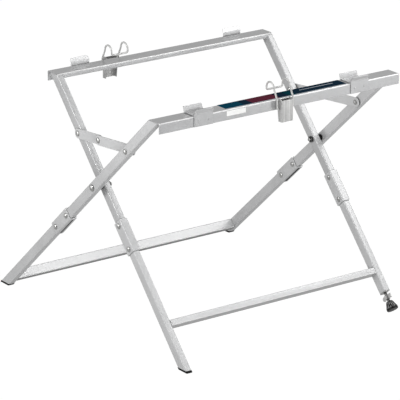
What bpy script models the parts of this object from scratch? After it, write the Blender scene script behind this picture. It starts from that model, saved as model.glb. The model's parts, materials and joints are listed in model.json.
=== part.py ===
# Folding saw stand: two crossed leg frames, each with a top bar for the saw.
#
# The outer frame carries the front top bar and stands on the rear feet.
# The inner frame carries the rear top bar and stands on the front feet.
# World axes: X along the top bars, Y from the front bar to the rear bar, Z up.
# A leg's own axes: X across, Y up along the leg from the pivot, Z over its depth.

import math

import bmesh
import bpy
from mathutils import Vector

MM = 0.001
GAP = 0.3 * MM                      # air between two pieces that touch

# Driving dimensions of the frames
STAND_HEIGHT = 588 * MM             # floor to the top of both bars
PIVOT_HEIGHT = 361 * MM
OUTER_ANGLE = math.radians(41.85)   # outer legs above the floor, rising to the front
INNER_ANGLE = math.radians(47.87)   # inner legs above the floor, rising to the rear
OUTER_HALF_WIDTH = 346 * MM
INNER_HALF_WIDTH = 318 * MM

# Leg tube
TUBE_WIDTH = 16 * MM
TUBE_DEPTH = 25 * MM
TUBE_WALL = 1.5 * MM
TUBE_CORNER = 2.5 * MM

# Top bars: folded channels, open below, with a deep outer and a shallow inner flange
BAR_WIDTH = 43 * MM
BAR_SHEET = 2 * MM
BAR_BEND = 3 * MM
BAR_OUTER_FLANGE = 25 * MM
BAR_INNER_FLANGE = 12 * MM
FRONT_BAR_FORWARD = 256 * MM        # bar's middle in front of the pivot
REAR_BAR_BEHIND = 207.5 * MM        # bar's middle behind the pivot

# Cross tubes, centre line below the pivot, measured along the leg
REAR_FLOOR_BAR_BELOW = 500 * MM
FRONT_CROSSBAR_BELOW = 370 * MM

# Sleeves that join the upper and lower half of each leg
SLEEVE_LENGTH = 84 * MM
SLEEVE_DEPTH = 32 * MM
SLEEVE_SIDE = 2 * MM                # thickness of the sleeve over the tube's sides
SLEEVE_BOLT_SPACING = 61 * MM
OUTER_SLEEVE_BELOW = 181 * MM       # sleeve centre below the pivot, along the leg
INNER_SLEEVE_BELOW = 138 * MM

# Folding braces: straight when open, flat against the legs when folded
BRACE_REAR_UP = 141 * MM            # rear rivet above the pivot, along the inner leg
BRACE_FRONT_UP = 188 * MM           # front rivet above the pivot, along the outer leg
REAR_LINK_SHARE = 0.4               # of the distance between both rivets
LINK_THICKNESS = 2.5 * MM
LINK_HALF_WIDTH = 12 * MM
REAR_LINK_FACE = 320 * MM           # inner face of the link beside the inner leg
FRONT_LINK_FACE = 325 * MM          # inner face of the link beside the outer leg

# Fasteners
RIVET_SHANK = 3 * MM
RIVET_HEAD = 7 * MM
PIVOT_SHANK = 4 * MM
PIVOT_HEAD = 8.5 * MM
ROUND_STEPS = 12                    # a multiple of six, so that hexagons keep their corners

# Saddles on the front bar and stop plates on the rear bar
PLATE_CENTRE_X = 225 * MM
PLATE_WIDTH = 52 * MM
PLATE_SHEET = 2 * MM
PLATE_BEND_HEIGHT = 8 * MM          # above the bar, where the lip starts to lean out
PLATE_LIP_HEIGHT = 16.6 * MM
PLATE_LIP_LEAN = 5.4 * MM
PLATE_CORNER = 6 * MM
SADDLE_SEAT = 40 * MM
SADDLE_WALL_HEIGHT = 14 * MM
SADDLE_WALL_LEAN = 3.7 * MM

# Latches, measured from the bar's outer upper edge
FRONT_LATCH_X = 0.0
REAR_LATCH_X = -132 * MM
LATCH_PIN_OUT = 10 * MM
LATCH_PIN_DOWN = 6 * MM
LATCH_PIN_RADIUS = 2.5 * MM
LATCH_EAR_RADIUS = 3.6 * MM
LATCH_FOOT = 14 * MM                # bracket's reach below its pin
LATCH_EAR_BACK = math.radians(135)  # where the ear's round end starts, at the bar
LATCH_EAR_FRONT = math.radians(-90)
LATCH_SHEET = 1.5 * MM
LEVER_HALF_WIDTH = 16.5 * MM
LEVER_HEIGHT = 52 * MM
LEVER_OUT = 18.5 * MM
LEVER_END_RADIUS = 9.2 * MM
LEVER_TAPER_UP = 30 * MM            # lower end to where its side walls start to narrow
LEVER_TAPER_BACK = 7.2 * MM         # pin's axis back to the walls' rear edge there
LEVER_TAIL_BACK = 3.5 * MM          # and at the lower end
BAIL_OUT = 9.5 * MM
BAIL_DOWN = 21 * MM
BAIL_WIRE = 2.2 * MM
BAIL_BEND = 4.5 * MM
BAIL_HALF_SPACING = 23 * MM
BAIL_LEAN_UP = 1 * MM               # where the wire starts to lean in over the bar
BAIL_HOOK_IN = 2.5 * MM             # where it starts to curve over and down
BAIL_HOOK_UP = 24 * MM
BAIL_HOOK_RADIUS = 14.5 * MM
BAIL_CROSS_UP = 17 * MM

# Feet
CAP_THICKNESS = 4 * MM
CAP_RIM = 0.7 * MM
CAP_PLUG = 12 * MM
LEVELLED_LEG_END = 426 * MM         # the fourth leg is cut square this far below the pivot
INSERT_FLANGE = 2 * MM
INSERT_PLUG = 14 * MM
STUD_RADIUS = 4 * MM
STUD_IN_FOOT = 12 * MM
STUD_IN_LEG = 20 * MM
WING_NUT_BELOW = 441 * MM
WING_NUT_HEIGHT = 9 * MM
WING_NUT_RADIUS = 8 * MM
WING_NUT_TIP_RADIUS = 6.5 * MM
WING_THICKNESS = 3 * MM
WING_REACH = 13.5 * MM              # stud's axis to the middle of a wing's round end
WING_END_RADIUS = 5.5 * MM
WING_ROOT_HALF_HEIGHT = 3.5 * MM
WING_END_TURN = math.radians(100)   # the round end's arc on either side of the wing's tip
FOOT_RADIUS = 14.5 * MM
FOOT_TOP_RADIUS = 8.5 * MM
FOOT_HEIGHT = 22 * MM
FOOT_RIM = 6 * MM
FOOT_RIBS = 16
FOOT_RIB_DEPTH = 1 * MM


# Start from an empty file
for old in list(bpy.data.objects):
    bpy.data.objects.remove(old, do_unlink=True)


def make_material(name, colour, roughness, metallic):
    """Return a plain surface with the photo's colour."""
    material = bpy.data.materials.new(name)
    material.use_nodes = True
    shader = material.node_tree.nodes["Principled BSDF"]
    shader.inputs["Base Color"].default_value = (*colour, 1.0)
    shader.inputs["Roughness"].default_value = roughness
    shader.inputs["Metallic"].default_value = metallic
    return material


SILVER_PAINT = make_material("silver_paint", (0.62, 0.62, 0.62), 0.38, 0.6)
PLATED_STEEL = make_material("plated_steel", (0.70, 0.70, 0.68), 0.28, 0.95)
LATCH_STEEL = make_material("latch_steel", (0.60, 0.60, 0.59), 0.32, 0.9)
BLACK_PLASTIC = make_material("black_plastic", (0.018, 0.018, 0.018), 0.5, 0.0)
BLACK_RUBBER = make_material("black_rubber", (0.022, 0.022, 0.022), 0.75, 0.0)


# Places of the frames; the footprint is centred on the origin
REAR_REACH = PIVOT_HEIGHT / math.tan(OUTER_ANGLE) + TUBE_DEPTH / (2 * math.sin(OUTER_ANGLE))
FRONT_REACH = PIVOT_HEIGHT / math.tan(INNER_ANGLE) + TUBE_DEPTH / (2 * math.sin(INNER_ANGLE))
PIVOT = Vector((0.0, (FRONT_REACH - REAR_REACH) / 2, PIVOT_HEIGHT))
OUTER_TURN = math.pi - OUTER_ANGLE
INNER_TURN = INNER_ANGLE


def add_axis(name, location, turn):
    """Return an empty that holds the pieces which turn together about its X axis."""
    empty = bpy.data.objects.new(name, None)
    empty.location = location
    empty.rotation_euler = (turn, 0.0, 0.0)
    bpy.context.scene.collection.objects.link(empty)
    return empty


outer_frame = add_axis("outer_frame_axis", PIVOT, OUTER_TURN)
inner_frame = add_axis("inner_frame_axis", PIVOT, INNER_TURN)


def finish(name, bm, material, parent=None, location=(0.0, 0.0, 0.0), turn=0.0):
    """Turn the mesh into a named object with its round faces shaded smooth."""
    bmesh.ops.recalc_face_normals(bm, faces=bm.faces[:])
    mesh = bpy.data.meshes.new(name)
    bm.to_mesh(mesh)
    bm.free()
    mesh.materials.append(material)
    mesh.shade_smooth()
    mesh.set_sharp_from_angle(angle=math.radians(35))
    part = bpy.data.objects.new(name, mesh)
    part.location = location
    part.rotation_euler = (turn, 0.0, 0.0)
    part.parent = parent
    bpy.context.scene.collection.objects.link(part)
    return part


def combine(part, other, operation):
    """Cut the hidden other solid out of the part, or join it on."""
    other.hide_render = True
    other.display_type = "WIRE"
    step = part.modifiers.new(other.name, "BOOLEAN")
    step.operation = operation
    step.solver = "EXACT"
    step.object = other


def skin(bm, rings, closed=False):
    """Join rings of points in order, and fill both ends or join them to each other."""
    pairs = list(zip(rings, rings[1:]))
    if closed:
        pairs.append((rings[-1], rings[0]))
    else:
        bm.faces.new(rings[0])
        bm.faces.new(rings[-1])
    for near, far in pairs:
        for index in range(len(near)):
            following = (index + 1) % len(near)
            bm.faces.new((near[index], near[following], far[following], far[index]))


def rounded_rectangle(width, depth, radius, steps=3):
    """Return the outline of a rectangle with rounded corners, centred on the origin."""
    points = []
    for quarter, (side_a, side_b) in enumerate(((1, 1), (-1, 1), (-1, -1), (1, -1))):
        for step in range(steps + 1):
            angle = (quarter + step / steps) * math.pi / 2
            a = side_a * (width / 2 - radius) + radius * math.cos(angle)
            b = side_b * (depth / 2 - radius) + radius * math.sin(angle)
            points.append((a, b))
    return points


def circle(radius, steps=16):
    """Return the outline of a circle centred on the origin."""
    turns = [2 * math.pi * step / steps for step in range(steps)]
    return [(radius * math.cos(turn), radius * math.sin(turn)) for turn in turns]


def hexagon(flats):
    """Return a hexagon with as many points as a fastener's circle."""
    points = []
    for step in range(ROUND_STEPS):
        angle = 2 * math.pi * step / ROUND_STEPS
        radius = flats / 2 / math.cos(angle % (math.pi / 3) - math.pi / 6)
        points.append((radius * math.cos(angle), radius * math.sin(angle)))
    return points


def stack_along_x(bm, levels, centre=(0.0, 0.0)):
    """Return rings of points, one for each (x, outline) level."""
    rings = []
    for x, outline in levels:
        rings.append([bm.verts.new((x, centre[0] + a, centre[1] + b)) for a, b in outline])
    return rings


def x_cutter(name, places, half_length, parent=None, location=(0.0, 0.0, 0.0), turn=0.0):
    """Return a hidden cutter with a round bar along X for each (y, z, radius)."""
    bm = bmesh.new()
    for y, z, radius in places:
        outline = circle(radius, ROUND_STEPS)
        skin(bm, stack_along_x(bm, ((-half_length, outline), (half_length, outline)), (y, z)))
    return finish(name, bm, SILVER_PAINT, parent, location, turn)


def box_cutter(name, low, high, location):
    """Return a hidden cutter box between two corners."""
    bm = bmesh.new()
    bmesh.ops.create_cube(bm, size=1.0)
    bmesh.ops.scale(bm, vec=[b - a for a, b in zip(low, high)], verts=bm.verts[:])
    bmesh.ops.translate(bm, vec=[(a + b) / 2 for a, b in zip(low, high)], verts=bm.verts[:])
    return finish(name, bm, SILVER_PAINT, None, location)


# Leg tubes and sleeves
def level_end(height, turn):
    """Return the end of a leg, over its depth, that is level at a height above the floor."""
    return lambda z: (height - PIVOT_HEIGHT - z * math.cos(turn)) / math.sin(turn)


def square_end(y):
    """Return the end of a leg that is cut square."""
    return lambda z: y


def leg_tube(name, outside, inside, low_end, high_end, parent, x):
    """Draw a tube along a leg between two ends that are heights over the tube's depth."""
    bm = bmesh.new()
    rings = []
    for outline, end in ((outside, low_end), (outside, high_end), (inside, high_end), (inside, low_end)):
        rings.append([bm.verts.new((a, end(b), b)) for a, b in outline])
    skin(bm, rings, closed=True)
    return finish(name, bm, SILVER_PAINT, parent, (x, 0.0, 0.0))


TUBE_OUTSIDE = rounded_rectangle(TUBE_WIDTH, TUBE_DEPTH, TUBE_CORNER)
TUBE_INSIDE = rounded_rectangle(TUBE_WIDTH - 2 * TUBE_WALL, TUBE_DEPTH - 2 * TUBE_WALL,
                                TUBE_CORNER - TUBE_WALL)
SLEEVE_OUTSIDE = rounded_rectangle(TUBE_WIDTH + 2 * (SLEEVE_SIDE + GAP), SLEEVE_DEPTH, TUBE_CORNER)
SLEEVE_INSIDE = rounded_rectangle(TUBE_WIDTH + 2 * GAP, TUBE_DEPTH + 2 * GAP, TUBE_CORNER)


def leg(word, side, frame, parent, turn, half_width, sleeve_below, foot_end, brace_up):
    """Build one leg from an upper tube, a lower tube and the sleeve over their joint."""
    x = side * (half_width - TUBE_WIDTH / 2)
    upper_bolt = SLEEVE_BOLT_SPACING / 2 - sleeve_below
    lower_bolt = -SLEEVE_BOLT_SPACING / 2 - sleeve_below
    hole = RIVET_SHANK + GAP

    def drill(piece, places):
        cutter = x_cutter(f"{piece.name}_holes", places, TUBE_WIDTH, parent, (x, 0.0, 0.0))
        combine(piece, cutter, "DIFFERENCE")

    top_end = level_end(STAND_HEIGHT - BAR_SHEET - GAP, turn)
    upper = leg_tube(f"{word}_{frame}_upper_leg", TUBE_OUTSIDE, TUBE_INSIDE,
                     square_end(GAP / 2 - sleeve_below), top_end, parent, x)
    drill(upper, ((0.0, 0.0, PIVOT_SHANK + GAP), (brace_up, 0.0, hole), (upper_bolt, 0.0, hole)))
    lower = leg_tube(f"{word}_{frame}_lower_leg", TUBE_OUTSIDE, TUBE_INSIDE,
                     foot_end, square_end(-GAP / 2 - sleeve_below), parent, x)
    drill(lower, ((lower_bolt, 0.0, hole),))
    sleeve = leg_tube(f"{word}_{frame}_leg_sleeve", SLEEVE_OUTSIDE, SLEEVE_INSIDE,
                      square_end(-sleeve_below - SLEEVE_LENGTH / 2),
                      square_end(-sleeve_below + SLEEVE_LENGTH / 2), parent, x)
    drill(sleeve, ((upper_bolt, 0.0, hole), (lower_bolt, 0.0, hole)))


for side, word in ((-1, "left"), (1, "right")):
    leg(word, side, "outer", outer_frame, OUTER_TURN, OUTER_HALF_WIDTH, OUTER_SLEEVE_BELOW,
        level_end(CAP_THICKNESS + GAP, OUTER_TURN), BRACE_FRONT_UP)
    inner_end = level_end(CAP_THICKNESS + GAP, INNER_TURN) if side < 0 else square_end(-LEVELLED_LEG_END)
    leg(word, side, "inner", inner_frame, INNER_TURN, INNER_HALF_WIDTH, INNER_SLEEVE_BELOW,
        inner_end, BRACE_REAR_UP)


# Cross tubes
def cross_tube(name, half_length, below, parent):
    """Draw a tube across a frame, its wide side over the depth of the legs."""
    bm = bmesh.new()
    levels = ((-half_length, TUBE_OUTSIDE), (half_length, TUBE_OUTSIDE),
              (half_length, TUBE_INSIDE), (-half_length, TUBE_INSIDE))
    skin(bm, stack_along_x(bm, levels), closed=True)
    return finish(name, bm, SILVER_PAINT, parent, (0.0, -below, 0.0))


cross_tube("rear_floor_bar", OUTER_HALF_WIDTH - TUBE_WIDTH - GAP, REAR_FLOOR_BAR_BELOW, outer_frame)
cross_tube("front_crossbar", INNER_HALF_WIDTH - TUBE_WIDTH - GAP, FRONT_CROSSBAR_BELOW, inner_frame)


# Folded sheet
def folded_outline(points, sheet, bend, steps=3):
    """Return the outline of a sheet on the left of the points, bends rounded to the radius."""
    path = [Vector(point) for point in points]
    near = []
    far = []
    for index, here in enumerate(path):
        first = index == 0
        last = index == len(path) - 1
        before = (here - path[index - 1]).normalized() if not first else None
        after = (path[index + 1] - here).normalized() if not last else None
        if first or last:
            along = after if first else before
            near.append(here)
            far.append(here + Vector((-along.y, along.x)) * sheet)
            continue
        turn = math.atan2(before.x * after.y - before.y * after.x, before.dot(after))
        left = 1 if turn > 0 else -1
        near_radius = bend if turn > 0 else bend - sheet
        normal = Vector((-before.y, before.x))
        normal_after = Vector((-after.y, after.x))
        centre = here + left * near_radius * (normal + normal_after) / (1 + normal.dot(normal_after))
        start = math.atan2(-left * normal.y, -left * normal.x)
        for step in range(steps + 1):
            angle = start + turn * step / steps
            spoke = Vector((math.cos(angle), math.sin(angle)))
            near.append(centre + spoke * near_radius)
            far.append(centre + spoke * (near_radius - left * sheet))
    return [tuple(point) for point in near + far[::-1]]


def extrude_x(bm, outline, x_low, x_high):
    """Add a solid with the (y, z) outline between two X planes."""
    skin(bm, stack_along_x(bm, ((x_low, outline), (x_high, outline))))


def round_tips(bm, tips, radius):
    """Round the corners of a sheet whose edge runs between the two tip points."""
    corners = []
    for edge in bm.edges:
        ends = [Vector((vert.co.y, vert.co.z)) for vert in edge.verts]
        at_tips = all(min((end - Vector(tip)).length for tip in tips) < GAP / 10 for end in ends)
        if at_tips and (ends[0] - ends[1]).length > GAP:
            corners.append(edge)
    bmesh.ops.bevel(bm, geom=corners, offset=radius, segments=4, profile=0.5, affect="EDGES")


# Top bars, measured from the bar's outer upper edge
def bar_edge(outward):
    """Return the middle of the bar's outer upper edge; outward is -1 in front and 1 behind."""
    reach = -FRONT_BAR_FORWARD if outward < 0 else REAR_BAR_BEHIND
    return Vector((0.0, PIVOT.y + reach + outward * BAR_WIDTH / 2, STAND_HEIGHT))


def top_bar(name, outward, half_length):
    """Draw a channel bar and stop its inner flange short of the legs."""
    inner = -outward * BAR_WIDTH
    drops = {0.0: BAR_OUTER_FLANGE, inner: BAR_INNER_FLANGE}
    behind = max(0.0, inner)
    ahead = min(0.0, inner)
    points = ((behind, -drops[behind]), (behind, 0.0), (ahead, 0.0), (ahead, -drops[ahead]))
    bm = bmesh.new()
    extrude_x(bm, folded_outline(points, BAR_SHEET, BAR_BEND), -half_length, half_length)
    edge = bar_edge(outward)
    bar = finish(name, bm, SILVER_PAINT, None, edge)
    low_y, high_y = sorted((inner - outward * BAR_BEND, inner + outward * 2 * BAR_BEND))
    for side, word in ((-1, "left"), (1, "right")):
        low_x, high_x = sorted((side * (half_length - TUBE_WIDTH - 2 * GAP), side * (half_length + BAR_BEND)))
        relief = box_cutter(f"{name}_{word}_relief", (low_x, low_y, -2 * BAR_INNER_FLANGE),
                            (high_x, high_y, GAP - BAR_SHEET), edge)
        combine(bar, relief, "DIFFERENCE")


top_bar("front_top_bar", -1, OUTER_HALF_WIDTH)
top_bar("rear_top_bar", 1, INNER_HALF_WIDTH)


# Saddles and stop plates, their origins on the bar's outer upper edge
def lip_points():
    """Return the plate on the bar's outer face as (outward, up) points with its leaning lip."""
    return ((GAP, -BAR_OUTER_FLANGE), (GAP, PLATE_BEND_HEIGHT), (GAP + PLATE_LIP_LEAN, PLATE_LIP_HEIGHT))


def stop_plate(name, side):
    """Draw the plate riveted to the rear bar's outer face."""
    outline = folded_outline([(out + PLATE_SHEET, up) for out, up in lip_points()],
                             PLATE_SHEET, 2 * PLATE_SHEET)
    half = len(outline) // 2
    bm = bmesh.new()
    extrude_x(bm, outline, -PLATE_WIDTH / 2, PLATE_WIDTH / 2)
    round_tips(bm, outline[half - 1:half + 1], PLATE_CORNER)
    edge = bar_edge(1)
    finish(name, bm, SILVER_PAINT, None, (side * PLATE_CENTRE_X, edge.y, edge.z))


def saddle(name, side):
    """Draw the front bar's saddle: outer plate with a lip, seat on the bar and inner wall."""
    plate = folded_outline([(-out, up) for out, up in lip_points()], PLATE_SHEET, 2 * PLATE_SHEET)
    half = len(plate) // 2
    plate_inside = plate[:half]
    plate_outside = plate[half:]
    wall = ((-GAP, GAP), (SADDLE_SEAT, GAP), (SADDLE_SEAT + SADDLE_WALL_LEAN, SADDLE_WALL_HEIGHT))
    seat = folded_outline(wall, PLATE_SHEET, 2 * PLATE_SHEET)
    half = len(seat) // 2
    bm = bmesh.new()
    outline = plate_outside + [plate_inside[0]] + seat + plate_inside[1:]
    extrude_x(bm, outline, -PLATE_WIDTH / 2, PLATE_WIDTH / 2)
    round_tips(bm, (plate_inside[-1], plate_outside[0]), PLATE_CORNER)
    round_tips(bm, (seat[half - 1], seat[half]), PLATE_CORNER / 2)
    edge = bar_edge(-1)
    finish(name, bm, SILVER_PAINT, None, (side * PLATE_CENTRE_X, edge.y, edge.z))


for side, word in ((-1, "left"), (1, "right")):
    saddle(f"front_{word}_saddle", side)
    stop_plate(f"rear_{word}_stop_plate", side)


# Rivets, bolts and nuts, drawn for the right side and mirrored for the left
def dome(face, side, radius, height):
    """Return the levels of a low round head that rises from a face."""
    levels = []
    for rise, share in ((0.0, 1.0), (0.35, 1.0), (0.75, 0.82), (1.0, 0.42)):
        levels.append((face + side * height * rise, circle(radius * share, ROUND_STEPS)))
    return levels


def round_piece(name, levels, side, parent, y, material=PLATED_STEEL, closed=False):
    """Draw a fastener, washer or nut from its levels along X."""
    bm = bmesh.new()
    skin(bm, stack_along_x(bm, [(side * x, outline) for x, outline in levels]), closed)
    finish(name, bm, material, parent, (0.0, y, 0.0))


def ring_levels(low, high, outer_radius, inner_radius):
    """Return the levels of a washer or spacer."""
    outside = circle(outer_radius, ROUND_STEPS)
    inside = circle(inner_radius, ROUND_STEPS)
    return ((low, outside), (high, outside), (high, inside), (low, inside))


def sleeve_rivets(word, side, frame, parent, half_width, sleeve_below):
    """Draw the two rivets that hold both leg tubes in their sleeve."""
    outer_face = half_width + SLEEVE_SIDE + 2 * GAP
    inner_face = half_width - TUBE_WIDTH - SLEEVE_SIDE - 2 * GAP
    shank = circle(RIVET_SHANK, ROUND_STEPS)
    levels = dome(inner_face, -1, RIVET_HEAD * 0.75, 1.8 * MM)[::-1]
    levels += [(inner_face, shank), (outer_face, shank)]
    levels += dome(outer_face, 1, RIVET_HEAD, 2.8 * MM)
    for offset, place in ((1, "upper"), (-1, "lower")):
        y = offset * SLEEVE_BOLT_SPACING / 2 - sleeve_below
        round_piece(f"{word}_{frame}_sleeve_{place}_rivet", levels, side, parent, y)


def pivot_fasteners(word, side):
    """Draw the bolt that both frames turn on, its spacer between the legs, and its nut."""
    head_face = OUTER_HALF_WIDTH + GAP
    nut_face = INNER_HALF_WIDTH - TUBE_WIDTH - GAP
    shank = circle(PIVOT_SHANK, ROUND_STEPS)
    levels = [(nut_face - 10 * MM, circle(PIVOT_SHANK * 0.8, ROUND_STEPS)), (nut_face - 9 * MM, shank),
              (head_face, shank)]
    levels += dome(head_face, 1, PIVOT_HEAD, 4 * MM)
    round_piece(f"{word}_pivot_bolt", levels, side, outer_frame, 0.0)
    spacer = ring_levels(INNER_HALF_WIDTH + GAP, OUTER_HALF_WIDTH - TUBE_WIDTH - GAP,
                         7.5 * MM, PIVOT_SHANK + GAP)
    round_piece(f"{word}_pivot_spacer", spacer, side, outer_frame, 0.0, BLACK_PLASTIC, closed=True)
    bore = circle(PIVOT_SHANK + GAP, ROUND_STEPS)
    flats = hexagon(13 * MM)
    rim = circle(6.2 * MM, ROUND_STEPS)
    far_face = nut_face - 6.2 * MM
    nut = ((nut_face, rim), (nut_face - 0.6 * MM, flats), (far_face + 0.6 * MM, flats),
           (far_face, rim), (far_face, bore), (nut_face, bore))
    round_piece(f"{word}_pivot_nut", nut, side, outer_frame, 0.0, closed=True)


def brace_rivets(word, side):
    """Draw the rivet at each end of a brace and the plastic washer at its front end."""
    shank = circle(RIVET_SHANK, ROUND_STEPS)
    leg_inside = INNER_HALF_WIDTH - TUBE_WIDTH - GAP
    shoulder = circle(6 * MM, ROUND_STEPS)
    shoulder_low = INNER_HALF_WIDTH + GAP
    shoulder_high = REAR_LINK_FACE - GAP
    link_outside = REAR_LINK_FACE + LINK_THICKNESS + GAP
    levels = dome(leg_inside, -1, RIVET_HEAD * 0.8, 2.5 * MM)[::-1]
    levels += [(leg_inside, shank), (shoulder_low, shank), (shoulder_low, shoulder),
               (shoulder_high, shoulder), (shoulder_high, shank), (link_outside, shank)]
    levels += dome(link_outside, 1, RIVET_HEAD, 1.9 * MM)
    round_piece(f"{word}_brace_rear_rivet", levels, side, inner_frame, BRACE_REAR_UP)

    leg_outside = OUTER_HALF_WIDTH + GAP
    link_inside = FRONT_LINK_FACE - GAP
    levels = dome(link_inside, -1, RIVET_HEAD * 0.9, 4 * MM)[::-1]
    levels += [(link_inside, shank), (leg_outside, shank)]
    levels += dome(leg_outside, 1, RIVET_HEAD, 3 * MM)
    round_piece(f"{word}_brace_front_rivet", levels, side, outer_frame, BRACE_FRONT_UP)
    washer = ring_levels(FRONT_LINK_FACE + LINK_THICKNESS + GAP, OUTER_HALF_WIDTH - TUBE_WIDTH - GAP,
                         9.5 * MM, RIVET_SHANK + GAP)
    round_piece(f"{word}_brace_front_washer", washer, side, outer_frame, BRACE_FRONT_UP,
                BLACK_PLASTIC, closed=True)


for side, word in ((-1, "left"), (1, "right")):
    sleeve_rivets(word, side, "outer", outer_frame, OUTER_HALF_WIDTH, OUTER_SLEEVE_BELOW)
    sleeve_rivets(word, side, "inner", inner_frame, INNER_HALF_WIDTH, INNER_SLEEVE_BELOW)
    pivot_fasteners(word, side)
    brace_rivets(word, side)


# Folding braces, each link with its origin on its hinge
def up_leg(distance, turn):
    """Return the point on a leg's centre line that far above the pivot."""
    return PIVOT + distance * Vector((0.0, math.cos(turn), math.sin(turn)))


BRACE_REAR = up_leg(BRACE_REAR_UP, INNER_TURN)
BRACE_FRONT = up_leg(BRACE_FRONT_UP, OUTER_TURN)
BRACE_SPAN = (BRACE_FRONT - BRACE_REAR).length
BRACE_TURN = math.atan2(BRACE_FRONT.z - BRACE_REAR.z, BRACE_FRONT.y - BRACE_REAR.y)
REAR_LINK_LENGTH = REAR_LINK_SHARE * BRACE_SPAN
FRONT_LINK_LENGTH = BRACE_SPAN - REAR_LINK_LENGTH


def link_outline(length, steps=8):
    """Return a flat bar from the origin along Y with round ends."""
    points = []
    for centre, start in ((length, -math.pi / 2), (0.0, math.pi / 2)):
        for step in range(steps + 1):
            angle = start + math.pi * step / steps
            points.append((centre + LINK_HALF_WIDTH * math.cos(angle), LINK_HALF_WIDTH * math.sin(angle)))
    return points


def link(name, side, inner_face, length, hinge, turn, holes):
    """Draw a brace link with holes at these distances from its hinge."""
    bm = bmesh.new()
    low, high = sorted((side * inner_face, side * (inner_face + LINK_THICKNESS)))
    extrude_x(bm, link_outline(length), low, high)
    part = finish(name, bm, SILVER_PAINT, None, (0.0, hinge.y, hinge.z), turn)
    middle = (low + high) / 2
    places = [(distance, 0.0, RIVET_SHANK + GAP) for distance in holes]
    cutter = x_cutter(f"{name}_holes", places, 2 * LINK_THICKNESS, None, (middle, hinge.y, hinge.z), turn)
    combine(part, cutter, "DIFFERENCE")
    return part


def knee_boss(part, side):
    """Raise the formed end of the knee's rivet on the rear link's inner face."""
    levels = dome(REAR_LINK_FACE, -1, 6 * MM, 1.5 * MM)[::-1]
    levels.append((REAR_LINK_FACE + LINK_THICKNESS / 2, circle(6 * MM, ROUND_STEPS)))
    bm = bmesh.new()
    skin(bm, stack_along_x(bm, [(side * x, outline) for x, outline in levels], (REAR_LINK_LENGTH, 0.0)))
    boss = finish(f"{part.name}_boss", bm, SILVER_PAINT, None, part.location, BRACE_TURN)
    combine(part, boss, "UNION")


def knee_rivet(name, side):
    """Draw the knee's rivet, which ends flush in the front link."""
    outer_face = FRONT_LINK_FACE + LINK_THICKNESS + GAP
    shank = circle(RIVET_SHANK, ROUND_STEPS)
    levels = [(FRONT_LINK_FACE, shank), (outer_face, shank)] + dome(outer_face, 1, RIVET_HEAD, 1.9 * MM)
    bm = bmesh.new()
    skin(bm, stack_along_x(bm, [(side * x, outline) for x, outline in levels], (FRONT_LINK_LENGTH, 0.0)))
    finish(name, bm, PLATED_STEEL, None, (0.0, BRACE_FRONT.y, BRACE_FRONT.z), BRACE_TURN + math.pi)


for side, word in ((-1, "left"), (1, "right")):
    rear_link = link(f"{word}_brace_rear_link", side, REAR_LINK_FACE, REAR_LINK_LENGTH,
                     BRACE_REAR, BRACE_TURN, (0.0,))
    knee_boss(rear_link, side)
    link(f"{word}_brace_front_link", side, FRONT_LINK_FACE, FRONT_LINK_LENGTH,
         BRACE_FRONT, BRACE_TURN + math.pi, (0.0, FRONT_LINK_LENGTH))
    knee_rivet(f"{word}_brace_knee_rivet", side)


# Latches: a bracket on the bar, a lever on the bracket's pin and a wire bail on the lever
def latch_bracket(name, outward, x):
    """Draw the folded bracket with its two ears and the pin riveted into them."""
    half = LEVER_HALF_WIDTH - LATCH_SHEET - GAP
    foot = -LATCH_PIN_DOWN - LATCH_FOOT
    outline = [(GAP, foot), (GAP, -LATCH_PIN_DOWN - MM)]
    for step in range(9):
        angle = LATCH_EAR_BACK + (LATCH_EAR_FRONT - LATCH_EAR_BACK) * step / 8
        outline.append((LATCH_PIN_OUT + LATCH_EAR_RADIUS * math.cos(angle),
                        -LATCH_PIN_DOWN + LATCH_EAR_RADIUS * math.sin(angle)))
    outline.append((GAP + 2 * LATCH_SHEET, foot))
    edge = bar_edge(outward)
    place = (x, edge.y, edge.z)
    bm = bmesh.new()
    extrude_x(bm, [(outward * out, up) for out, up in outline], -half, half)
    bracket = finish(name, bm, LATCH_STEEL, None, place)
    low_y, high_y = sorted((outward * (GAP + LATCH_SHEET), outward * 2 * LEVER_OUT))
    hollow = box_cutter(f"{name}_hollow", (-half + LATCH_SHEET, low_y, -LEVER_HEIGHT),
                        (half - LATCH_SHEET, high_y, LEVER_HEIGHT), place)
    combine(bracket, hollow, "DIFFERENCE")

    shank = circle(LATCH_PIN_RADIUS, ROUND_STEPS)
    head = circle(LATCH_PIN_RADIUS + MM, ROUND_STEPS)
    face = LEVER_HALF_WIDTH + GAP
    end = face + 1.2 * MM
    chamfer = end - 0.4 * MM
    levels = ((-end, shank), (-chamfer, head), (-face, head), (-face, shank),
              (face, shank), (face, head), (chamfer, head), (end, shank))
    bm = bmesh.new()
    skin(bm, stack_along_x(bm, levels, (outward * LATCH_PIN_OUT, -LATCH_PIN_DOWN)))
    combine(bracket, finish(f"{name}_pin", bm, LATCH_STEEL, None, place), "UNION")


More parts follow.
